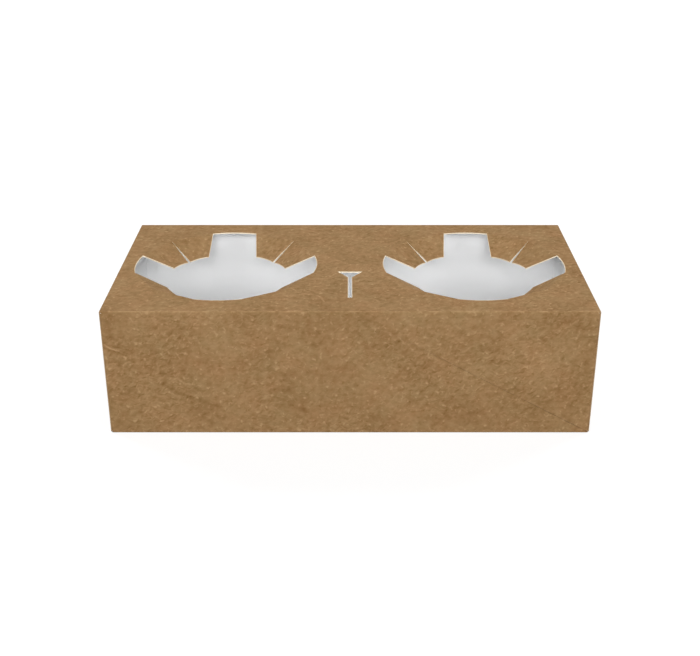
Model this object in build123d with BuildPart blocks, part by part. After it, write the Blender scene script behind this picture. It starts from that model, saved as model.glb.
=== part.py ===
"""Two-cup carrier: one die-cut sheet of kraft board, creased, folded and glued into a closed box.

The frame has +X along the carrier, +Y towards its back wall and +Z up. The origin lies under the
middle of the base, on the surface that the carrier stands on. Sizes are in millimetres and degrees.
"""

import os
from math import asin, cos, degrees, radians, sin, sqrt, tan

from build123d import *

# The erected box, over its outer faces
carrier_length = 216.0
carrier_depth = 110.0
carrier_height = 60.0

# The board and its creases
board = 0.45
crease_radius = 0.2

# Glue flaps and end flaps, each measured from the outer face that its fold makes
seam_flap = 14.0
seam_taper = 9.0
dust_flap = 47.0
dust_chamfer = 7.0
tongue_flap = 18.0
tongue_chamfer = 6.0
floor_gap = 0.35
corner_gap = 0.25

# The two cup openings: petals hang from a ring of straight creases, four wide slots part them
cup_pitch = 117.0
opening_radius = 42.75
mouth_radius = 27.4
slot_width = 21.6
petal_drop = 30.0
slit_kerf = 0.16

# The stirrer slot in front of the middle of the top panel
stirrer_head_width = 11.0
stirrer_head_depth = 6.6
stirrer_slot_width = 1.6
stirrer_slot_length = 30.0
stirrer_slot_setback = 15.3

# Radii of a fold on its outer face and along the middle of the board
outer_radius = crease_radius + board
middle_radius = crease_radius + board / 2

# Middle lines of the walls, as they stand in the box
back_line = carrier_depth / 2 - board / 2
seam_line = back_line - board
front_line = -back_line
base_line = board / 2
top_line = carrier_height - board / 2

# Outer faces of the three layers that close each end, and where the flat panels before them stop
end_face = carrier_length / 2
dust_face = end_face - board
tongue_face = dust_face - board
top_end = end_face - outer_radius
wall_end = dust_face - outer_radius
base_end = tongue_face - outer_radius

# Each flap's strip starts inside the panel that it is folded from
flap_root = 1.0

# Reach of the flat part of each panel, clear of the creases along its sides
panel_half_depth = carrier_depth / 2 - outer_radius
base_half_depth = panel_half_depth - board
tongue_half_width = base_half_depth - board
wall_bottom = outer_radius
wall_top = carrier_height - outer_radius

# The petals' creases: straight chords of the opening circle, from a slot's corner to the diagonal
slot_corner = degrees(asin(slot_width / 2 / opening_radius))
hinge_span = 45 - slot_corner
hinge_angle = slot_corner + hinge_span / 2
hinge_apothem = opening_radius * cos(radians(hinge_span / 2))
hinge_length = 2 * opening_radius * sin(radians(hinge_span / 2))
crease_allowance = outer_radius * tan(radians(petal_drop / 2))


def folded_strip(plane, points, reach):
    """A strip of board that follows points, creased at each corner, reach to both sides of plane."""
    with BuildPart() as strip:
        with BuildSketch(plane):
            with BuildLine():
                FilletPolyline(*points, radius=middle_radius)
            trace(line_width=board)
        extrude(amount=reach, both=True)
    return strip.part


# The tube of four panels, closed by the seam flap that is glued inside the back wall
with BuildPart() as tube:
    add(
        folded_strip(
            Plane.YZ,
            [
                (base_half_depth, base_line),
                (front_line, base_line),
                (front_line, top_line),
                (back_line, top_line),
                (back_line, floor_gap),
            ],
            top_end,
        )
    )
    add(
        folded_strip(
            Plane.YZ,
            [
                (base_half_depth - flap_root, base_line),
                (seam_line, base_line),
                (seam_line, seam_flap),
            ],
            wall_end,
        )
    )
    # The seam flap's slanted ends, with its crease cut away at each corner
    with BuildSketch(Plane.XZ.offset(-(carrier_depth / 2 - board))):
        with BuildLine():
            Polyline(
                (wall_end, 0),
                (wall_end, seam_flap),
                (wall_end - seam_taper, seam_flap),
                (wall_end - flap_root, wall_bottom),
                (wall_end - flap_root, 0),
                close=True,
            )
        make_face()
        mirror(about=Plane.YZ)
    extrude(amount=outer_radius, mode=Mode.SUBTRACT)
    # The walls stop short of the end panels, where their dust flaps turn in
    with BuildSketch(Plane.XZ):
        with Locations((wall_end, wall_bottom), (-top_end, wall_bottom)):
            Rectangle(
                top_end - wall_end,
                wall_top - wall_bottom,
                align=(Align.MIN, Align.MIN),
            )
    extrude(amount=carrier_depth / 2, both=True, mode=Mode.SUBTRACT)
    # The base stops further in, behind the dust flaps, but its front crease runs on
    with BuildSketch(Plane.XY):
        with Locations((base_end, -panel_half_depth), (-top_end, -panel_half_depth)):
            Rectangle(
                top_end - base_end,
                panel_half_depth + carrier_depth / 2,
                align=(Align.MIN, Align.MIN),
            )
    extrude(amount=wall_bottom, mode=Mode.SUBTRACT)

# A dust flap, folded in from the front wall's end
with BuildPart() as dust_flap_front:
    add(
        folded_strip(
            Plane.XY.offset(carrier_height / 2),
            [
                (wall_end - flap_root, front_line),
                (dust_face - board / 2, front_line),
                (dust_face - board / 2, front_line + dust_flap),
            ],
            carrier_height / 2 - outer_radius - corner_gap,
        )
    )
    chamfer(
        dust_flap_front.edges().filter_by(Axis.X).group_by(Axis.Y)[-1],
        length=dust_chamfer,
    )

# An end panel, folded down from the top panel over the dust flaps
with BuildPart() as end_panel:
    add(
        folded_strip(
            Plane.XZ,
            [
                (wall_end - flap_root, top_line),
                (end_face - board / 2, top_line),
                (end_face - board / 2, floor_gap),
            ],
            panel_half_depth,
        )
    )

# A tongue, folded up from the base's end and glued inside the dust flaps
with BuildPart() as base_tongue:
    add(
        folded_strip(
            Plane.XZ,
            [
                (base_end - flap_root, base_line),
                (tongue_face - board / 2, base_line),
                (tongue_face - board / 2, tongue_flap),
            ],
            tongue_half_width,
        )
    )
    chamfer(
        base_tongue.edges().filter_by(Axis.X).group_by(Axis.Z)[-1],
        length=tongue_chamfer,
    )

# Two petals, one each side of a slot, drawn about the cup's axis at the top panel's outer face
inward = Vector(-cos(radians(hinge_angle)), -sin(radians(hinge_angle)), 0)
along = Vector(-sin(radians(hinge_angle)), cos(radians(hinge_angle)), 0)
upward = Vector(0, 0, 1)
hinge_middle = inward * -hinge_apothem
petal_face = upward * cos(radians(petal_drop)) + inward * sin(radians(petal_drop))
slot_edge = sqrt(opening_radius**2 - slot_width**2 / 4) - sqrt(mouth_radius**2 - slot_width**2 / 4)
petal_reach = slot_edge + board
bend_middle = -board / 2 * tan(radians(petal_drop / 2))
tuck = crease_allowance + board
slot_way = (sin(radians(hinge_angle)), cos(radians(hinge_angle)))
slit_way = (-sin(radians(hinge_span / 2)), cos(radians(hinge_span / 2)))
slot_corner_x = -hinge_length / 2
slit_corner_x = hinge_length / 2 - slit_kerf / 2 * cos(radians(hinge_span / 2))
slit_corner_y = -slit_kerf / 2 * sin(radians(hinge_span / 2))

with BuildPart() as petal_pair:
    # The crease and the petal's slope, seen along the crease
    with BuildSketch(Plane(hinge_middle, x_dir=inward, z_dir=inward.cross(upward))):
        with BuildLine():
            FilletPolyline(
                (-tuck, -board / 2),
                (bend_middle, -board / 2),
                (
                    bend_middle + petal_reach * cos(radians(petal_drop)),
                    -board / 2 - petal_reach * sin(radians(petal_drop)),
                ),
                radius=middle_radius,
            )
        trace(line_width=board)
    extrude(amount=hinge_length, both=True)
    # The petal's outline on its own slope: slot edge, mouth arc and slit edge
    with BuildSketch(Plane(hinge_middle, x_dir=along, z_dir=petal_face)):
        with BuildLine():
            Polyline(
                (slot_corner_x - tuck * slot_way[0], -tuck * slot_way[1]),
                (slot_corner_x + petal_reach * slot_way[0], petal_reach * slot_way[1]),
                (
                    slit_corner_x + petal_reach * slit_way[0],
                    slit_corner_y + petal_reach * slit_way[1],
                ),
                (slit_corner_x - tuck * slit_way[0], slit_corner_y - tuck * slit_way[1]),
                close=True,
            )
        make_face()
        with Locations((0, hinge_apothem)):
            Circle(mouth_radius, mode=Mode.SUBTRACT)
    extrude(amount=2 * outer_radius, both=True, mode=Mode.INTERSECT)
    mirror(about=Plane.XZ)

# The whole folded sheet: the tube, its six end flaps, the cut-outs and the sixteen petals
with BuildPart() as cup_carrier:
    add(tube.part)
    add(dust_flap_front.part)
    mirror(dust_flap_front.part, about=Plane.XZ)
    add(end_panel.part)
    add(base_tongue.part)
    mirror(dust_flap_front.part, about=Plane.YZ)
    mirror(mirror(dust_flap_front.part, about=Plane.XZ, mode=Mode.PRIVATE), about=Plane.YZ)
    mirror(end_panel.part, about=Plane.YZ)
    mirror(base_tongue.part, about=Plane.YZ)

    # Both cup openings and the stirrer slot, cut through the top panel
    with BuildSketch(Plane.XY.offset(carrier_height)):
        with Locations((-cup_pitch / 2, 0), (cup_pitch / 2, 0)):
            Circle(opening_radius)
            for crease_angle in (hinge_angle, 90 - hinge_angle):
                with PolarLocations(
                    hinge_apothem + crease_allowance, 4, start_angle=crease_angle
                ):
                    Rectangle(
                        opening_radius,
                        hinge_length,
                        align=(Align.MIN, Align.CENTER),
                        mode=Mode.SUBTRACT,
                    )
    extrude(amount=-board, mode=Mode.SUBTRACT)
    with BuildSketch(Plane.XY.offset(carrier_height)):
        slot_front = -carrier_depth / 2 + stirrer_slot_setback
        slot_back = slot_front + stirrer_slot_length
        with BuildLine():
            Polyline(
                (stirrer_slot_width / 2, slot_front),
                (stirrer_slot_width / 2, slot_back - stirrer_head_depth),
                (stirrer_head_width / 2, slot_back),
                (-stirrer_head_width / 2, slot_back),
                (-stirrer_slot_width / 2, slot_back - stirrer_head_depth),
                (-stirrer_slot_width / 2, slot_front),
                close=True,
            )
        make_face()
    extrude(amount=-board, mode=Mode.SUBTRACT)

    with Locations((-cup_pitch / 2, 0, carrier_height), (cup_pitch / 2, 0, carrier_height)):
        with PolarLocations(0, 4):
            add(petal_pair.part)

cup_carrier.part.label = "cup_carrier"
os.makedirs("parts", exist_ok=True)
export_step(cup_carrier.part, "parts/cup_carrier.step")
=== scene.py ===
from math import asin, cos, pi, radians, sin, sqrt, tan

import bmesh
import bpy
from mathutils import Matrix, Vector


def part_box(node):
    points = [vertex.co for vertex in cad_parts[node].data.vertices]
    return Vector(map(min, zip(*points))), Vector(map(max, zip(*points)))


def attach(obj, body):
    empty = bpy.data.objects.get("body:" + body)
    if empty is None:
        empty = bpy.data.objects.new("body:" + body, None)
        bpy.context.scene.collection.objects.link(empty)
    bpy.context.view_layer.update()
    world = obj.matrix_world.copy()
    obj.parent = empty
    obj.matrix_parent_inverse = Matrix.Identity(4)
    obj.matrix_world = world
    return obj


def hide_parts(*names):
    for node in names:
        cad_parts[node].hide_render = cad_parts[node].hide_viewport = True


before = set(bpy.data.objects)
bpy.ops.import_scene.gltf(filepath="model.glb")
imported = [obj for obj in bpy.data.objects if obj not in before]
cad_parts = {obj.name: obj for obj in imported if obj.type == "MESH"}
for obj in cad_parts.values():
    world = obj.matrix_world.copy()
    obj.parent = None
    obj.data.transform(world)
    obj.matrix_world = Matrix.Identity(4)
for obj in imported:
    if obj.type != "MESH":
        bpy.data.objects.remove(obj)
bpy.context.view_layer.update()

# The camera looks a little down on the front wall, from in front of the middle of the carrier. The
# whole carrier is in view, with its two cup openings and the stirrer slot between them.
lens_mm = 57.13
sensor_mm = 36.0
camera_pitch = 25.1
camera_place = (0.0, -0.4894, 0.2558)
camera_data = bpy.data.cameras.new("carrier_camera")
camera_data.lens = lens_mm
camera_data.sensor_width = sensor_mm
camera = bpy.data.objects.new("carrier_camera", camera_data)
camera.location = camera_place
camera.rotation_euler = (radians(90.0 - camera_pitch), 0.0, 0.0)
bpy.context.scene.collection.objects.link(camera)
bpy.context.scene.camera = camera


# The blank is one sheet of kraft board with a white lining, die-cut flat and then creased. Its
# outer face is drawn here as it lies on the cutting die, in metres, with the top panel in the
# middle. Each panel is turned about its crease from the panel before it.
carrier_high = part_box("cup_carrier")[1]
half_length = carrier_high.x
half_depth = carrier_high.y
height = carrier_high.z
board = 0.00045
crease_radius = 0.00065
seam_setback = 0.001
corner_gap = 0.00025
floor_gap = 0.00035
dust_face = half_length - board
tongue_face = dust_face - board
top_end = half_length - crease_radius
wall_end = dust_face - crease_radius
base_end = tongue_face - crease_radius
crease_reach = half_depth - crease_radius
flap_start = crease_radius + corner_gap
tongue_reach = crease_reach - 2 * board

cup_pitch = 0.117
opening_radius = 0.04275
mouth_radius = 0.0274
slot_width = 0.0216
slit_kerf = 0.00006
slit_run_out = 0.0003
petal_drop = radians(30.0)
slot_corner = asin(slot_width / 2 / opening_radius)
crease_angle = (slot_corner + pi / 4) / 2
crease_distance = opening_radius * cos((pi / 4 - slot_corner) / 2)
arc_steps = 8

slot_length = 0.030
slot_half_width = 0.0008
slot_head_half_width = 0.0055
slot_head_depth = 0.0066
slot_front = -half_depth + 0.0153
slot_back = slot_front + slot_length


def arc(radius, start, end, steps, centre=(0.0, 0.0)):
    """Points on an arc of the blank, from angle start to angle end."""
    angles = [start + (end - start) * step / steps for step in range(steps + 1)]
    return [(centre[0] + radius * cos(a), centre[1] + radius * sin(a)) for a in angles]


def opening_rim(side):
    """Half of the right-hand cup opening's rim: its back half for side 1, its front half for -1."""
    centre = cup_pitch / 2
    half_kerf = slit_kerf / 2
    kerf_shift = Vector((-sin(crease_angle), cos(crease_angle))) * half_kerf
    slit_way = Vector((sqrt(0.5), sqrt(0.5)))
    slit_side = slit_way * opening_radius - kerf_shift
    slit_end = slit_side + slit_way * slit_run_out
    quarter = arc(opening_radius, 0.0, slot_corner, arc_steps // 2)
    quarter += [tuple(slit_side), tuple(slit_end)]
    quarter += [(slit_end.y, slit_end.x), (slit_side.y, slit_side.x)]
    quarter += arc(opening_radius, pi / 2 - slot_corner, pi / 2, arc_steps // 2)
    rim = [(centre - x, side * y) for x, y in quarter]
    rim += [(centre + x, side * y) for x, y in reversed(quarter[:-1])]
    return rim


def turned(placing, start, end, angle):
    """The placing of a panel, turned about the crease from start to end of the panel before it."""
    pivot = Matrix.Translation((start[0], start[1], 0.0))
    axis = Vector((end[0] - start[0], end[1] - start[1], 0.0))
    return placing @ pivot @ Matrix.Rotation(angle, 4, axis) @ pivot.inverted()


def wall_side(near, far):
    """A wall's right-hand side, from the crease at near to far: its dust flap clears both ends."""
    inward = 1.0 if far > near else -1.0
    near_side = [
        (top_end, near),
        (top_end, near + inward * crease_radius),
        (wall_end, near + inward * crease_radius),
        (wall_end, near + inward * flap_start),
        (dust_face, near + inward * flap_start),
    ]
    return near_side + [(u, near + far - v) for u, v in reversed(near_side)]


sheet = bmesh.new()
blank_layer = sheet.loops.layers.uv.new("blank")


def lay_panel(outline, placing):
    """Adds a panel's right-hand half, or a right-hand flap, and its mirror image on the left."""
    for side in (1, -1):
        flat = [(side * u, v) for u, v in outline]
        area = sum(a[0] * b[1] - b[0] * a[1] for a, b in zip(flat, flat[1:] + flat[:1]))
        if area < 0:
            flat.reverse()
        places = [placing @ Vector((side * u, v, 0.0)) for u, v in flat]
        face = sheet.faces.new([sheet.verts.new((side * p.x, p.y, p.z)) for p in places])
        for loop, point in zip(face.loops, flat):
            loop[blank_layer].uv = point


top_placing = Matrix.Translation((0.0, 0.0, height))
front_edge = -half_depth
base_edge = front_edge - height
seam_edge = base_edge - (2 * half_depth - board)
seam_flap = 0.014
seam_taper = 0.009
back_free = half_depth + height - floor_gap

# The top panel, in a front and a back half on each side of the middle
lay_panel(
    [(0.0, 0.0)]
    + opening_rim(1)
    + [(half_length, 0.0), (half_length, crease_reach), (top_end, crease_reach)]
    + [(top_end, half_depth), (0.0, half_depth)],
    top_placing,
)
lay_panel(
    [(0.0, 0.0)]
    + opening_rim(-1)
    + [(half_length, 0.0), (half_length, -crease_reach), (top_end, -crease_reach)]
    + [(top_end, front_edge), (0.0, front_edge), (0.0, slot_front)]
    + [(slot_half_width, slot_front), (slot_half_width, slot_back - slot_head_depth)]
    + [(slot_head_half_width, slot_back), (0.0, slot_back)],
    top_placing,
)

# The front wall, the base, the seam flap and the back wall
front_placing = turned(top_placing, (0.0, front_edge), (1.0, front_edge), pi / 2)
lay_panel(
    [(0.0, front_edge)] + wall_side(front_edge, base_edge) + [(0.0, base_edge)], front_placing
)
base_placing = turned(front_placing, (0.0, base_edge), (1.0, base_edge), pi / 2)
lay_panel(
    [
        (0.0, base_edge),
        (top_end, base_edge),
        (top_end, base_edge - crease_radius),
        (base_end, base_edge - crease_radius),
        (base_end, base_edge - half_depth + tongue_reach),
        (tongue_face, base_edge - half_depth + tongue_reach),
        (tongue_face, base_edge - half_depth - tongue_reach),
        (base_end, base_edge - half_depth - tongue_reach),
        (base_end, seam_edge + crease_radius),
        (wall_end - seam_setback, seam_edge + crease_radius),
        (wall_end - seam_setback, seam_edge),
        (0.0, seam_edge),
    ],
    base_placing,
)
seam_placing = turned(base_placing, (0.0, seam_edge), (1.0, seam_edge), pi / 2)
lay_panel(
    [
        (0.0, seam_edge),
        (wall_end - seam_setback, seam_edge),
        (wall_end - seam_setback, seam_edge - crease_radius),
        (wall_end - seam_taper, seam_edge - seam_flap),
        (0.0, seam_edge - seam_flap),
    ],
    seam_placing,
)
back_placing = turned(top_placing, (0.0, half_depth), (-1.0, half_depth), pi / 2)
back_turn = half_depth + height
lay_panel(
    [(0.0, half_depth)]
    + wall_side(half_depth, back_turn)[:-2]
    + [(base_end, back_turn - crease_radius), (base_end, back_free), (0.0, back_free)],
    back_placing,
)

# The end flaps: an end panel from the top, dust flaps from both walls, a tongue from the base
end_free = half_length + height - floor_gap
lay_panel(
    [
        (half_length, -crease_reach),
        (end_free, -crease_reach),
        (end_free, crease_reach),
        (half_length, crease_reach),
        (half_length, 0.0),
    ],
    turned(top_placing, (half_length, -1.0), (half_length, 0.0), pi / 2),
)
dust_flap = 0.047225
dust_chamfer = 0.007
for placing, near, far in (
    (front_placing, base_edge, front_edge),
    (back_placing, half_depth, back_turn),
):
    lay_panel(
        [
            (dust_face, near + flap_start),
            (dust_face + dust_flap - dust_chamfer, near + flap_start),
            (dust_face + dust_flap, near + flap_start + dust_chamfer),
            (dust_face + dust_flap, far - flap_start - dust_chamfer),
            (dust_face + dust_flap - dust_chamfer, far - flap_start),
            (dust_face, far - flap_start),
        ],
        turned(placing, (dust_face, -1.0), (dust_face, 0.0), pi / 2),
    )
tongue_flap = 0.018
tongue_chamfer = 0.006
tongue_middle = base_edge - half_depth
lay_panel(
    [
        (tongue_face, tongue_middle - tongue_reach),
        (tongue_face + tongue_flap - tongue_chamfer, tongue_middle - tongue_reach),
        (tongue_face + tongue_flap, tongue_middle - tongue_reach + tongue_chamfer),
        (tongue_face + tongue_flap, tongue_middle + tongue_reach - tongue_chamfer),
        (tongue_face + tongue_flap - tongue_chamfer, tongue_middle + tongue_reach),
        (tongue_face, tongue_middle + tongue_reach),
    ],
    turned(base_placing, (tongue_face, -1.0), (tongue_face, 0.0), pi / 2),
)


# Sixteen petals ring the two openings and grip the cups. They are part of the same sheet, cut free
# on three sides, and each is pressed down about a straight crease. One pair is drawn flat, with a
# wide slot between its two petals, and the rest repeat it round both cup centres.
def add_node(tree, kind, inputs=None, **settings):
    """A node in a tree, with its settings, and its inputs as values or as other nodes' outputs."""
    made = tree.nodes.new(kind)
    for name, value in settings.items():
        setattr(made, name, value)
    for socket, value in (inputs or {}).items():
        if isinstance(value, bpy.types.NodeSocket):
            tree.links.new(value, made.inputs[socket])
        else:
            made.inputs[socket].default_value = value
    return made


def sum_of(tree, operation, *values):
    """One sum in a tree."""
    return add_node(tree, "ShaderNodeMath", dict(enumerate(values)), operation=operation).outputs[0]


def vector_sum(tree, operation, *values):
    """One sum of vectors in a tree: a length or a dot product is a number."""
    made = add_node(tree, "ShaderNodeVectorMath", dict(enumerate(values)), operation=operation)
    return made.outputs["Value" if operation in ("LENGTH", "DOT_PRODUCT") else "Vector"]


def petal_outline():
    """One petal as cut, about the cup's centre: crease, slit edge, mouth arc and slot edge."""
    kerf_shift = Vector((-sin(crease_angle), cos(crease_angle))) * slit_kerf / 2
    slit_corner = Vector((opening_radius * sqrt(0.5), opening_radius * sqrt(0.5))) - kerf_shift
    slit_shift = (slit_corner.x - slit_corner.y) * sqrt(0.5)
    slit_angle = pi / 4 - asin(slit_shift / mouth_radius)
    slot_angle = asin(slot_width / 2 / mouth_radius)
    hinge = [(opening_radius * cos(slot_corner), slot_width / 2), tuple(slit_corner)]
    return hinge + arc(mouth_radius, slit_angle, slot_angle, arc_steps)


petal_pair = bmesh.new()
for side in (1, -1):
    outline = [petal_pair.verts.new((x, side * y, 0.0)) for x, y in petal_outline()]
    petal_pair.faces.new(outline[::side])
pair_mesh = bpy.data.meshes.new("petal_pair")
petal_pair.to_mesh(pair_mesh)
petal_pair.free()
petals = bpy.data.objects.new("petals", pair_mesh)
bpy.context.scene.collection.objects.link(petals)

slots_per_cup = 4
ring = bpy.data.node_groups.new("Petal ring", "GeometryNodeTree")
ring.interface.new_socket("Geometry", in_out="INPUT", socket_type="NodeSocketGeometry")
ring_sizes = {
    "Cup pitch": cup_pitch,
    "Top height": height,
    "Crease angle": crease_angle,
    "Crease distance": crease_distance,
    "Petal drop": petal_drop,
}
for name in ring_sizes:
    ring.interface.new_socket(name, in_out="INPUT", socket_type="NodeSocketFloat")
ring.interface.new_socket("Slots", in_out="INPUT", socket_type="NodeSocketInt")
ring.interface.new_socket("Board face", in_out="INPUT", socket_type="NodeSocketMaterial")
ring.interface.new_socket("Geometry", in_out="OUTPUT", socket_type="NodeSocketGeometry")
given = ring.nodes.new("NodeGroupInput").outputs
place = add_node(ring, "GeometryNodeInputPosition").outputs[0]
place_y = add_node(ring, "ShaderNodeSeparateXYZ", {0: place}).outputs["Y"]

# A petal turns about its crease: it draws back a little and falls by its distance from the crease
crease_side = sum_of(ring, "SIGN", place_y)
across_x = sum_of(ring, "COSINE", given["Crease angle"])
across_y = sum_of(ring, "MULTIPLY", sum_of(ring, "SINE", given["Crease angle"]), crease_side)
across = add_node(ring, "ShaderNodeCombineXYZ", {0: across_x, 1: across_y}).outputs[0]
from_centre = vector_sum(ring, "DOT_PRODUCT", place, across)
reach = sum_of(ring, "SUBTRACT", given["Crease distance"], from_centre)
drop_cosine = sum_of(ring, "COSINE", given["Petal drop"])
draw = sum_of(ring, "MULTIPLY", reach, sum_of(ring, "SUBTRACT", 1.0, drop_cosine))
drop_sine = sum_of(ring, "SINE", given["Petal drop"])
fall = sum_of(ring, "MULTIPLY", reach, sum_of(ring, "MULTIPLY", drop_sine, -1.0))
drawn = add_node(
    ring, "ShaderNodeVectorMath", {0: across, "Scale": draw}, operation="SCALE"
).outputs[0]
fallen = add_node(ring, "ShaderNodeCombineXYZ", {2: fall}).outputs[0]
turn = vector_sum(ring, "ADD", drawn, fallen)
bent = add_node(
    ring, "GeometryNodeSetPosition", {"Geometry": given["Geometry"], "Offset": turn}
).outputs[0]

# The pair is repeated at each slot of an opening, and the opening at both cup centres
quarter_turn = sum_of(ring, "DIVIDE", 2 * pi, given["Slots"])
index = add_node(ring, "GeometryNodeInputIndex").outputs[0]
spin = add_node(
    ring, "ShaderNodeCombineXYZ", {2: sum_of(ring, "MULTIPLY", index, quarter_turn)}
).outputs[0]
slots = add_node(ring, "GeometryNodePoints", {"Count": given["Slots"]}).outputs[0]
start_x = sum_of(ring, "MULTIPLY", given["Cup pitch"], -0.5)
start = add_node(ring, "ShaderNodeCombineXYZ", {0: start_x, 2: given["Top height"]}).outputs[0]
step = add_node(ring, "ShaderNodeCombineXYZ", {0: given["Cup pitch"]}).outputs[0]
centres = add_node(
    ring, "GeometryNodeMeshLine", {"Count": 2, "Start Location": start, "Offset": step}
).outputs[0]


def ringed(pair):
    """A pair of petals, repeated round both cup centres, as real geometry."""
    opening = add_node(
        ring, "GeometryNodeInstanceOnPoints", {"Points": slots, "Instance": pair, "Rotation": spin}
    ).outputs[0]
    both = add_node(
        ring, "GeometryNodeInstanceOnPoints", {"Points": centres, "Instance": opening}
    ).outputs[0]
    return add_node(ring, "GeometryNodeRealizeInstances", {0: both}).outputs[0]


# The flat petals' places are kept as the blank's map, so that the fibres run on across a crease
flat_place = add_node(
    ring, "GeometryNodeSampleIndex", {0: ringed(given["Geometry"]), 1: place, 2: index},
    data_type="FLOAT_VECTOR", domain="POINT",
).outputs[0]
at_points = add_node(
    ring, "GeometryNodeFieldOnDomain", {0: flat_place}, data_type="FLOAT_VECTOR", domain="POINT"
).outputs[0]
mapped = add_node(
    ring, "GeometryNodeStoreNamedAttribute",
    {"Geometry": ringed(bent), "Name": "blank", "Value": at_points},
    data_type="FLOAT2", domain="CORNER",
).outputs[0]
faced = add_node(
    ring, "GeometryNodeSetMaterial", {"Geometry": mapped, "Material": given["Board face"]}
).outputs[0]
add_node(ring, "NodeGroupOutput", {0: faced})

petals_ring = petals.modifiers.new("petal_ring", "NODES")
petals_ring.node_group = ring
sockets = {s.name: s.identifier for s in ring.interface.items_tree if s.in_out == "INPUT"}
for name, size in ring_sizes.items():
    petals_ring[sockets[name]] = size
petals_ring[sockets["Slots"]] = slots_per_cup
kraft = bpy.data.materials.new("kraft_face")
petals_ring[sockets["Board face"]] = kraft
bpy.context.view_layer.update()
seen = petals.evaluated_get(bpy.context.evaluated_depsgraph_get())
sheet.from_mesh(bpy.data.meshes.new_from_object(seen))
bpy.data.objects.remove(petals)


# Folded, the sheet gets its rounded creases and its thickness, inwards from the outer face. The
# outer face is bare kraft, the inner face is the white lining, and the rest are the cut edges.
same_place = 0.000001
bmesh.ops.remove_doubles(sheet, verts=sheet.verts[:], dist=same_place)
crease_layer = sheet.edges.layers.float.new("bevel_weight_edge")
least_fold = radians(5.0)
for edge in sheet.edges:
    if len(edge.link_faces) == 2 and edge.calc_face_angle() > least_fold:
        edge[crease_layer] = tan(edge.calc_face_angle() / 2)
carrier_mesh = bpy.data.meshes.new("folded_carrier")
sheet.to_mesh(carrier_mesh)
sheet.free()
carrier = bpy.data.objects.new("folded_carrier", carrier_mesh)
bpy.context.scene.collection.objects.link(carrier)

lining = bpy.data.materials.new("white_lining")
cut_edge = bpy.data.materials.new("cut_edge")
carrier_mesh.materials.clear()
for finish in (kraft, lining, cut_edge):
    carrier_mesh.materials.append(finish)

rounded = carrier.modifiers.new("creases", "BEVEL")
rounded.limit_method = "WEIGHT"
rounded.width = crease_radius
rounded.segments = 5
rounded.use_clamp_overlap = False
joined = carrier.modifiers.new("joined", "WELD")
joined.merge_threshold = 10 * same_place
thick = carrier.modifiers.new("board", "SOLIDIFY")
thick.thickness = board
thick.offset = -1.0
thick.use_even_offset = True
thick.material_offset = 1
thick.material_offset_rim = 2
bpy.context.view_layer.update()
seen = carrier.evaluated_get(bpy.context.evaluated_depsgraph_get())
carrier_mesh = bpy.data.meshes.new_from_object(seen)
carrier.modifiers.clear()
carrier.data = carrier_mesh
carrier_mesh.shade_smooth()
sharp_angle = radians(32.0)
carrier_mesh.set_sharp_from_angle(angle=sharp_angle)
even = carrier.modifiers.new("even_normals", "WEIGHTED_NORMAL")
even.keep_sharp = True
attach(carrier, "root")
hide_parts("cup_carrier")


# Kraft face: long brown fibres pressed into a matt, slightly crumpled sheet, clouded where the pulp
# lies thick or thin, with painted shade along its wrinkles. Pale fibres and flecks lie loose on it,
# its folds are painted pale, partly as a highlight and partly as wear, a pale line follows where
# the rule has cut it, and a few creases from handling are painted as pale highlight and dark shade.
fibres = bpy.data.node_groups.new("Loose fibres", "ShaderNodeTree")
fibres.interface.new_socket("Place", in_out="INPUT", socket_type="NodeSocketVector")
for name in ("Spacing", "Breadth", "Share"):
    fibres.interface.new_socket(name, in_out="INPUT", socket_type="NodeSocketFloat")
fibres.interface.new_socket("Mask", in_out="OUTPUT", socket_type="NodeSocketFloat")


def clouds(tree, place, per_metre, detail=0.0, roughness=0.5, warp=0.0):
    """Noise over the sheet, from 0 to 1."""
    settings = {"Scale": per_metre, "Detail": detail, "Roughness": roughness, "Distortion": warp}
    return add_node(tree, "ShaderNodeTexNoise", {"Vector": place, **settings}).outputs[0]


def ramp(tree, value, low, high):
    """Runs smoothly from 0 at low to 1 at high."""
    return add_node(
        tree, "ShaderNodeMapRange", {"Value": value, "From Min": low, "From Max": high},
        interpolation_type="SMOOTHSTEP",
    ).outputs[0]


def mixed(tree, share, first, second, **settings):
    """A colour between two others, or with blend_type="MULTIPLY" their product."""
    return add_node(
        tree, "ShaderNodeMix", {0: share, 6: first, 7: second}, data_type="RGBA", **settings
    ).outputs[2]


# A fibre follows the line where a warped cloud passes through its middle value, in broken pieces
pieces_per_spacing = 1.7
wholly_kept = 0.75
given = fibres.nodes.new("NodeGroupInput").outputs
often = sum_of(fibres, "DIVIDE", 1.0, given["Spacing"])
swirl = clouds(fibres, given["Place"], often, warp=0.6)
from_ridge = sum_of(fibres, "ABSOLUTE", sum_of(fibres, "SUBTRACT", swirl, 0.5))
thread = sum_of(fibres, "SUBTRACT", 1.0, sum_of(fibres, "DIVIDE", from_ridge, given["Breadth"]))
broken = clouds(fibres, given["Place"], sum_of(fibres, "MULTIPLY", often, pieces_per_spacing))
left_out = sum_of(fibres, "SUBTRACT", 1.0, given["Share"])
kept = ramp(fibres, broken, low=left_out, high=wholly_kept)
add_node(
    fibres, "NodeGroupOutput",
    {0: sum_of(fibres, "MULTIPLY", sum_of(fibres, "MAXIMUM", thread, 0.0), kept)},
)
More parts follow.
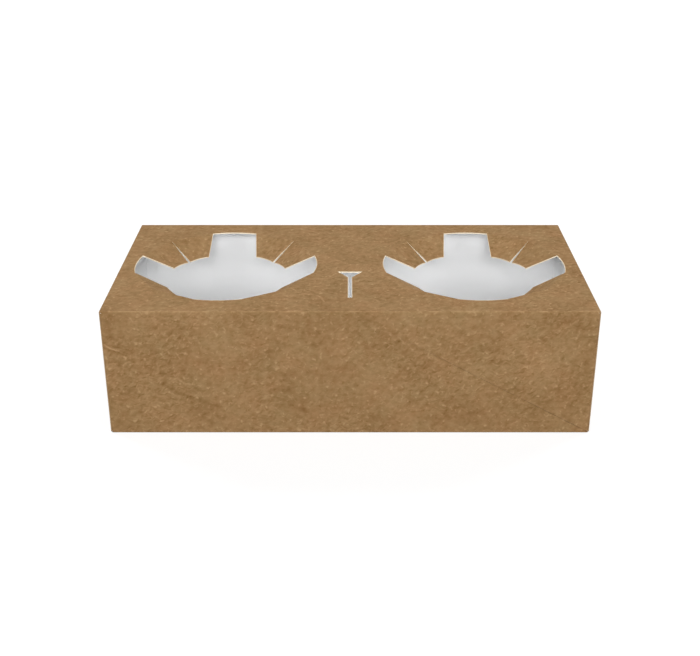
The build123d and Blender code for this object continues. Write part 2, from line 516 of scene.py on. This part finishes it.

# A stroke runs straight from its start to its end, and fades out to both sides
stroke = bpy.data.node_groups.new("Stroke", "ShaderNodeTree")
for name in ("Place", "Start", "End"):
    stroke.interface.new_socket(name, in_out="INPUT", socket_type="NodeSocketVector")
stroke.interface.new_socket("Breadth", in_out="INPUT", socket_type="NodeSocketFloat")
stroke.interface.new_socket("Mask", in_out="OUTPUT", socket_type="NodeSocketFloat")
given = stroke.nodes.new("NodeGroupInput").outputs
run = vector_sum(stroke, "SUBTRACT", given["End"], given["Start"])
from_start = vector_sum(stroke, "SUBTRACT", given["Place"], given["Start"])
run_squared = vector_sum(stroke, "DOT_PRODUCT", run, run)
run_share = sum_of(stroke, "DIVIDE", vector_sum(stroke, "DOT_PRODUCT", from_start, run), run_squared)
on_run = sum_of(stroke, "MINIMUM", sum_of(stroke, "MAXIMUM", run_share, 0.0), 1.0)
nearest = vector_sum(stroke, "MULTIPLY", run, on_run)
aside = vector_sum(stroke, "LENGTH", vector_sum(stroke, "SUBTRACT", from_start, nearest))
add_node(
    stroke, "NodeGroupOutput",
    {0: sum_of(stroke, "SUBTRACT", 1.0, ramp(stroke, aside, low=0.0, high=given["Breadth"]))},
)


def start_finish(material):
    """Clears a material and gives its tree and its main shader."""
    material.use_nodes = True
    material.node_tree.nodes.clear()
    shader = material.node_tree.nodes.new("ShaderNodeBsdfPrincipled")
    add_node(material.node_tree, "ShaderNodeOutputMaterial", {"Surface": shader.outputs[0]})
    return material.node_tree, shader


kraft_dark = (0.167, 0.0845, 0.0245, 1.0)
kraft_light = (0.408, 0.2555, 0.125, 1.0)
redder = (1.08, 0.98, 0.985, 1.0)
greener = (0.92, 1.02, 1.015, 1.0)
board_core = (0.90, 0.76, 0.56, 1.0)
tree, shader = start_finish(kraft)
on_sheet = add_node(tree, "ShaderNodeUVMap", uv_map="blank").outputs[0]
pulp = clouds(tree, on_sheet, per_metre=45.0, detail=3.0, roughness=0.6)
mottle = clouds(tree, on_sheet, per_metre=360.0, detail=1.0, roughness=0.6)
grain = clouds(tree, on_sheet, per_metre=1300.0, detail=1.0)
loose = add_node(
    tree, "ShaderNodeGroup",
    {"Place": on_sheet, "Spacing": 0.0030, "Breadth": 0.05, "Share": 0.48},
    node_tree=fibres,
).outputs[0]
flecks = ramp(tree, clouds(tree, on_sheet, per_metre=420.0, detail=1.0), low=0.60, high=0.80)
bark = ramp(tree, clouds(tree, on_sheet, per_metre=500.0), low=0.70, high=0.85)

# The fine wrinkles are painted pale along one side and dark along the other, deeper in some places
# This is painted light and shade in the kraft's colour, beside the real relief of the bump below
wrinkle_form = {"per_metre": 420.0, "detail": 0.8, "roughness": 0.6, "warp": 0.7}
dark_side = (0.00015, -0.0004, 0.0)
least_depth = 0.6
most_depth = 1.4
crumple = clouds(tree, on_sheet, **wrinkle_form)
crumple_beside = clouds(tree, vector_sum(tree, "ADD", on_sheet, dark_side), **wrinkle_form)
crushed = ramp(tree, clouds(tree, on_sheet, per_metre=30.0), low=0.35, high=0.65)
wrinkle_shade_depth = sum_of(tree, "MULTIPLY_ADD", crushed, most_depth - least_depth, least_depth)
wrinkle_shading = sum_of(tree, "MULTIPLY", sum_of(tree, "SUBTRACT", crumple_beside, crumple), wrinkle_shade_depth)

# A point near a fold is close to two of the box's outer faces at once. Each fold's rounding is
# painted pale near its top, in patches: partly a painted highlight, partly wear from handling.
fold_setback = 0.0003
fold_pale_solid = 0.00012
fold_pale_reach = 0.00035
fold_pale_least = 0.15
spot = add_node(tree, "ShaderNodeTexCoord").outputs["Object"]
spot_xyz = add_node(tree, "ShaderNodeSeparateXYZ", {0: spot}).outputs
from_end = sum_of(tree, "SUBTRACT", half_length, sum_of(tree, "ABSOLUTE", spot_xyz[0]))
from_centre = sum_of(tree, "ABSOLUTE", spot_xyz[1])
from_wall = sum_of(
    tree, "ABSOLUTE", sum_of(tree, "SUBTRACT", half_depth - fold_setback, from_centre)
)
from_level = sum_of(tree, "MINIMUM", sum_of(tree, "SUBTRACT", height, spot_xyz[2]), spot_xyz[2])
nearer = sum_of(tree, "MINIMUM", from_end, from_wall)
farther = sum_of(tree, "MAXIMUM", from_end, from_wall)
from_fold = sum_of(tree, "MAXIMUM", nearer, sum_of(tree, "MINIMUM", farther, from_level))
fold_pale_band = sum_of(tree, "SUBTRACT", 1.0, ramp(tree, from_fold, low=fold_pale_solid, high=fold_pale_reach))
fold_pale_cloud = clouds(tree, spot, per_metre=200.0, detail=3.0, roughness=0.7)
patchy = ramp(tree, fold_pale_cloud, low=0.44, high=0.62)
fold_pale_strength = sum_of(tree, "MULTIPLY_ADD", patchy, 1.0 - fold_pale_least, fold_pale_least)
fold_highlight_and_wear = sum_of(tree, "MULTIPLY", fold_pale_band, fold_pale_strength)

# Creases from handling on the front wall and in front of the stirrer slot, painted as pale strokes
# of highlight and, with a weight below 0, dark strokes of shade. Each follows its course on the
# blank and wavers a little to both sides.
waver = 0.0015
wander = add_node(tree, "ShaderNodeTexNoise", {"Vector": on_sheet, "Scale": 300.0}).outputs["Color"]
off_course = vector_sum(
    tree, "MULTIPLY_ADD", wander, (waver, waver, 0.0), (-waver / 2, -waver / 2, 0.0)
)
wavering = vector_sum(tree, "ADD", on_sheet, off_course)
crease_light_and_shade = 0.0
for weight, breadth, course in (
    (0.42, 0.0006, [(-0.1069, -0.0707), (-0.1038, -0.0727), (-0.1010, -0.0735)]),
    (-0.24, 0.0008, [(-0.1074, -0.0723), (-0.1025, -0.0740), (-0.0977, -0.0762)]),
    (-0.20, 0.0006, [(-0.1031, -0.0716), (-0.0974, -0.0729)]),
    (
        -0.14, 0.0020,
        [(-0.0822, -0.0898), (-0.0766, -0.0943), (-0.0689, -0.0975), (-0.0596, -0.1011)],
    ),
    (
        0.28, 0.0008,
        [(-0.0790, -0.0885), (-0.0761, -0.0871), (-0.0732, -0.0898), (-0.0685, -0.0903)],
    ),
    (-0.15, 0.0022, [(-0.0263, -0.1006), (-0.0197, -0.1037)]),
    (
        0.28, 0.0007,
        [(-0.0201, -0.0351), (-0.0151, -0.0368), (-0.0128, -0.0395), (-0.0112, -0.0442)],
    ),
    (-0.25, 0.0007, [(-0.0196, -0.0314), (-0.0163, -0.0335)]),
):
    crease_stroke = 0.0
    for start_point, end_point in zip(course, course[1:]):
        ends = {"Start": (*start_point, 0.0), "End": (*end_point, 0.0)}
        stretch = add_node(
            tree, "ShaderNodeGroup", {"Place": wavering, "Breadth": breadth, **ends}, node_tree=stroke
        ).outputs[0]
        crease_stroke = sum_of(tree, "MAXIMUM", stretch, crease_stroke)
    crease_light_and_shade = sum_of(tree, "MULTIPLY_ADD", crease_stroke, weight, crease_light_and_shade)

# Together they set the tone, from the dark kraft at 0 to the light at 1
tone = sum_of(tree, "ADD", crease_light_and_shade, 0.5)
for part, weight in ((pulp, 0.72), (mottle, 0.60), (grain, 0.08)):
    centred = sum_of(tree, "SUBTRACT", part, 0.5)
    tone = sum_of(tree, "MULTIPLY_ADD", centred, weight, tone)
for part, weight in ((wrinkle_shading, 0.70), (loose, 0.40), (flecks, 0.50), (bark, -0.18), (fold_highlight_and_wear, 0.58)):
    tone = sum_of(tree, "MULTIPLY_ADD", part, weight, tone)
brown = mixed(tree, tone, kraft_dark, kraft_light)
patches = clouds(tree, on_sheet, per_metre=80.0, detail=3.0, roughness=0.6)
tinted = mixed(tree, 1.0, brown, mixed(tree, patches, greener, redder), blend_type="MULTIPLY")

# The distance from the nearest cut, on the blank: a mouth, a wide slot, a slit or the stirrer slot.
# A slit is torn only near the mouth, where it has opened widest.
slit_tear_radius = 0.0345
slit_tear_inset = 0.00005
tear_solid = 0.00006
tear_reach = 0.0003
tear_strength = 0.9
sheet_xyz = add_node(tree, "ShaderNodeSeparateXYZ", {0: on_sheet}).outputs
from_middle = sum_of(tree, "ABSOLUTE", sheet_xyz[0])
cup_x = sum_of(tree, "ABSOLUTE", sum_of(tree, "SUBTRACT", from_middle, cup_pitch / 2))
cup_y = sum_of(tree, "ABSOLUTE", sheet_xyz[1])
cup_place = add_node(tree, "ShaderNodeCombineXYZ", {0: cup_x, 1: cup_y}).outputs[0]
from_cup = vector_sum(tree, "LENGTH", cup_place)
past_opening = sum_of(tree, "SUBTRACT", from_cup, opening_radius)
from_mouth = sum_of(tree, "SUBTRACT", from_cup, mouth_radius)
slot_side = sum_of(tree, "SUBTRACT", sum_of(tree, "MINIMUM", cup_x, cup_y), slot_width / 2)
from_slot = sum_of(tree, "MAXIMUM", slot_side, past_opening)
slit_side = sum_of(tree, "ABSOLUTE", sum_of(tree, "SUBTRACT", cup_x, cup_y))
past_tear = sum_of(tree, "SUBTRACT", from_cup, slit_tear_radius)
beside_slit = sum_of(tree, "MULTIPLY_ADD", slit_side, sqrt(0.5), slit_tear_inset)
from_slit = sum_of(tree, "MAXIMUM", beside_slit, past_tear)
head_slant = (slot_head_half_width - slot_half_width) / slot_head_depth
past_stem = sum_of(tree, "SUBTRACT", sheet_xyz[1], slot_back - slot_head_depth)
in_head = sum_of(tree, "MAXIMUM", past_stem, 0.0)
half_gap = sum_of(tree, "MULTIPLY_ADD", in_head, head_slant, slot_half_width)
before_slot = sum_of(tree, "SUBTRACT", slot_front, sheet_xyz[1])
behind_slot = sum_of(tree, "SUBTRACT", sheet_xyz[1], slot_back)
past_ends = sum_of(tree, "MAXIMUM", before_slot, behind_slot)
past_gap = sum_of(tree, "SUBTRACT", from_middle, half_gap)
from_stirrer = sum_of(tree, "MAXIMUM", past_gap, past_ends)
from_cut = from_mouth
for distance in (from_slot, from_slit, from_stirrer):
    from_cut = sum_of(tree, "MINIMUM", from_cut, distance)
torn = sum_of(tree, "SUBTRACT", 1.0, ramp(tree, from_cut, low=tear_solid, high=tear_reach))
bare = mixed(tree, sum_of(tree, "MULTIPLY", torn, tear_strength), tinted, board_core)
tree.links.new(bare, shader.inputs["Base Color"])

# The matt surface, in low relief: wrinkles, grain and loose fibres
least_rough = 0.80
most_rough = 0.92
relief_height = 0.0001
rough = sum_of(tree, "MULTIPLY_ADD", mottle, most_rough - least_rough, least_rough)
tree.links.new(rough, shader.inputs["Roughness"])
shader.inputs["Specular IOR Level"].default_value = 0.08
raised = sum_of(tree, "MULTIPLY_ADD", grain, 0.2, crumple)
raised = sum_of(tree, "MULTIPLY_ADD", loose, 0.12, raised)
relief = add_node(
    tree, "ShaderNodeBump", {"Height": raised, "Distance": relief_height, "Strength": 1.0}
).outputs[0]
tree.links.new(relief, shader.inputs["Normal"])


# White lining: the bleached and lightly coated inner face of the board. It is smoother than the
# kraft, with only a faint cloud in it.
dull_white = (0.935, 0.94, 0.945, 1.0)
clear_white = (0.955, 0.957, 0.96, 1.0)
tree, shader = start_finish(lining)
on_sheet = add_node(tree, "ShaderNodeUVMap", uv_map="blank").outputs[0]
cloud = clouds(tree, on_sheet, per_metre=120.0, detail=3.0, roughness=0.6)
white = mixed(tree, cloud, dull_white, clear_white)
tree.links.new(white, shader.inputs["Base Color"])
shader.inputs["Roughness"].default_value = 0.6
shader.inputs["Specular IOR Level"].default_value = 0.3


# Cut edges: the pale core of the board, as the cutting rule leaves it, with short torn fibres. At
# the ends of the carrier, handling has rubbed them as brown as the kraft.
core_dark = (0.82, 0.68, 0.48, 1.0)
core_pale = (0.96, 0.89, 0.75, 1.0)
handled_brown = (0.40, 0.27, 0.15, 1.0)
tree, shader = start_finish(cut_edge)
spot = add_node(tree, "ShaderNodeTexCoord").outputs["Object"]
fibre_ends = clouds(tree, spot, per_metre=1800.0, detail=2.0, roughness=0.7)
cream = mixed(tree, fibre_ends, core_dark, core_pale)
spot_x = add_node(tree, "ShaderNodeSeparateXYZ", {0: spot}).outputs[0]
from_centre = sum_of(tree, "ABSOLUTE", spot_x)
handled = ramp(tree, from_centre, low=half_length - 2 * board, high=half_length - 1.6 * board)
edge_colour = mixed(tree, handled, cream, handled_brown)
tree.links.new(edge_colour, shader.inputs["Base Color"])
shader.inputs["Roughness"].default_value = 0.9
shader.inputs["Specular IOR Level"].default_value = 0.2


# A pale floor in a white studio. It is clear from below and open under the base, so that a camera
# down there sees the base too. What is in sight of the camera is lifted to white, apart from the
# carrier's shadow.
def in_sight(tree):
    """1 for what the camera sees, straight or in a gloss or through glass, and 0 for the rest."""
    path = add_node(tree, "ShaderNodeLightPath").outputs
    mirrored = sum_of(tree, "MAXIMUM", path["Is Glossy Ray"], path["Is Transmission Ray"])
    return sum_of(tree, "MAXIMUM", path["Is Camera Ray"], mirrored)


floor_reach = 2.5
floor_drop = 0.0001
base_overlap = 0.002
floor_grey = (0.28, 0.28, 0.28, 1.0)
floor_lift = 0.79
floor_sheet = bmesh.new()
rings = []
for half_x, half_y in (
    (floor_reach, floor_reach),
    (half_length - base_overlap, half_depth - base_overlap),
):
    corners = [(-half_x, -half_y), (half_x, -half_y), (half_x, half_y), (-half_x, half_y)]
    rings.append([floor_sheet.verts.new((x, y, -floor_drop)) for x, y in corners])
outer, inner = rings
for corner in range(4):
    following = (corner + 1) % 4
    floor_sheet.faces.new((outer[corner], outer[following], inner[following], inner[corner]))
floor_mesh = bpy.data.meshes.new("floor")
floor_sheet.to_mesh(floor_mesh)
floor_sheet.free()
floor = bpy.data.objects.new("floor", floor_mesh)
bpy.context.scene.collection.objects.link(floor)
floor_paint = bpy.data.materials.new("floor_paint")
floor_mesh.materials.append(floor_paint)
tree, shader = start_finish(floor_paint)
shader.inputs["Base Color"].default_value = floor_grey
shader.inputs["Roughness"].default_value = 1.0
shader.inputs["Specular IOR Level"].default_value = 0.0
shader.inputs["Emission Color"].default_value = (1.0, 1.0, 1.0, 1.0)
lift = sum_of(tree, "MULTIPLY", in_sight(tree), floor_lift)
tree.links.new(lift, shader.inputs["Emission Strength"])
from_below = add_node(tree, "ShaderNodeNewGeometry").outputs["Backfacing"]
clear = add_node(tree, "ShaderNodeBsdfTransparent").outputs[0]
one_sided = add_node(
    tree, "ShaderNodeMixShader", {0: from_below, 1: shader.outputs[0], 2: clear}
).outputs[0]
tree.links.new(one_sided, tree.nodes["Material Output"].inputs["Surface"])

# The studio's walls give a little light from all round, and more from under the carrier, where only
# its base takes it
studio_level = 0.17
under_level = 0.9
world = bpy.data.worlds.new("studio")
bpy.context.scene.world = world
world.use_nodes = True
tree = world.node_tree
tree.nodes.clear()
direction = add_node(tree, "ShaderNodeTexCoord").outputs["Generated"]
height_share = add_node(tree, "ShaderNodeSeparateXYZ", {0: direction}).outputs[2]
under = sum_of(tree, "LESS_THAN", height_share, 0.0)
all_round = sum_of(tree, "MULTIPLY_ADD", under, under_level - studio_level, studio_level)
level = sum_of(tree, "MAXIMUM", in_sight(tree), all_round)
sky = add_node(tree, "ShaderNodeBackground", {"Color": (1.0, 1.0, 1.0, 1.0), "Strength": level})
add_node(tree, "ShaderNodeOutputWorld", {"Surface": sky.outputs[0]})

# Six soft boxes, each with its place round the carrier, its height angle, and the level that it
# gives a white card that faces it. The three in front stand low and spread, so that their light
# falls through the openings onto the white lining.
soft_box_width = 1.6
soft_box_distance = 4.4
carrier_middle = Vector((0.0, 0.0, height / 2))
for name, round_angle, height_angle, card_level in (
    ("front", 0.0, 25.0, 0.50),
    ("front_left", -50.0, 22.0, 0.32),
    ("front_right", 50.0, 22.0, 0.32),
    ("back_left", -130.0, 30.0, 0.45),
    ("back_right", 130.0, 30.0, 0.45),
    ("above", 0.0, 85.0, 0.07),
):
    lamp_data = bpy.data.lights.new(f"soft_box_{name}", "AREA")
    lamp_data.shape = "DISK"
    lamp_data.size = soft_box_width
    lamp_data.energy = card_level * (pi * soft_box_distance) ** 2
    lamp = bpy.data.objects.new(lamp_data.name, lamp_data)
    turned_round = Matrix.Rotation(radians(round_angle), 3, "Z")
    raised_by = Matrix.Rotation(radians(-height_angle), 3, "X")
    outward = turned_round @ raised_by @ Vector((0.0, -soft_box_distance, 0.0))
    lamp.location = carrier_middle + outward
    lamp.rotation_euler = (-outward).to_track_quat("-Z", "Y").to_euler()
    bpy.context.scene.collection.objects.link(lamp)

bpy.context.scene.view_settings.view_transform = "Standard"

bpy.context.view_layer.update()
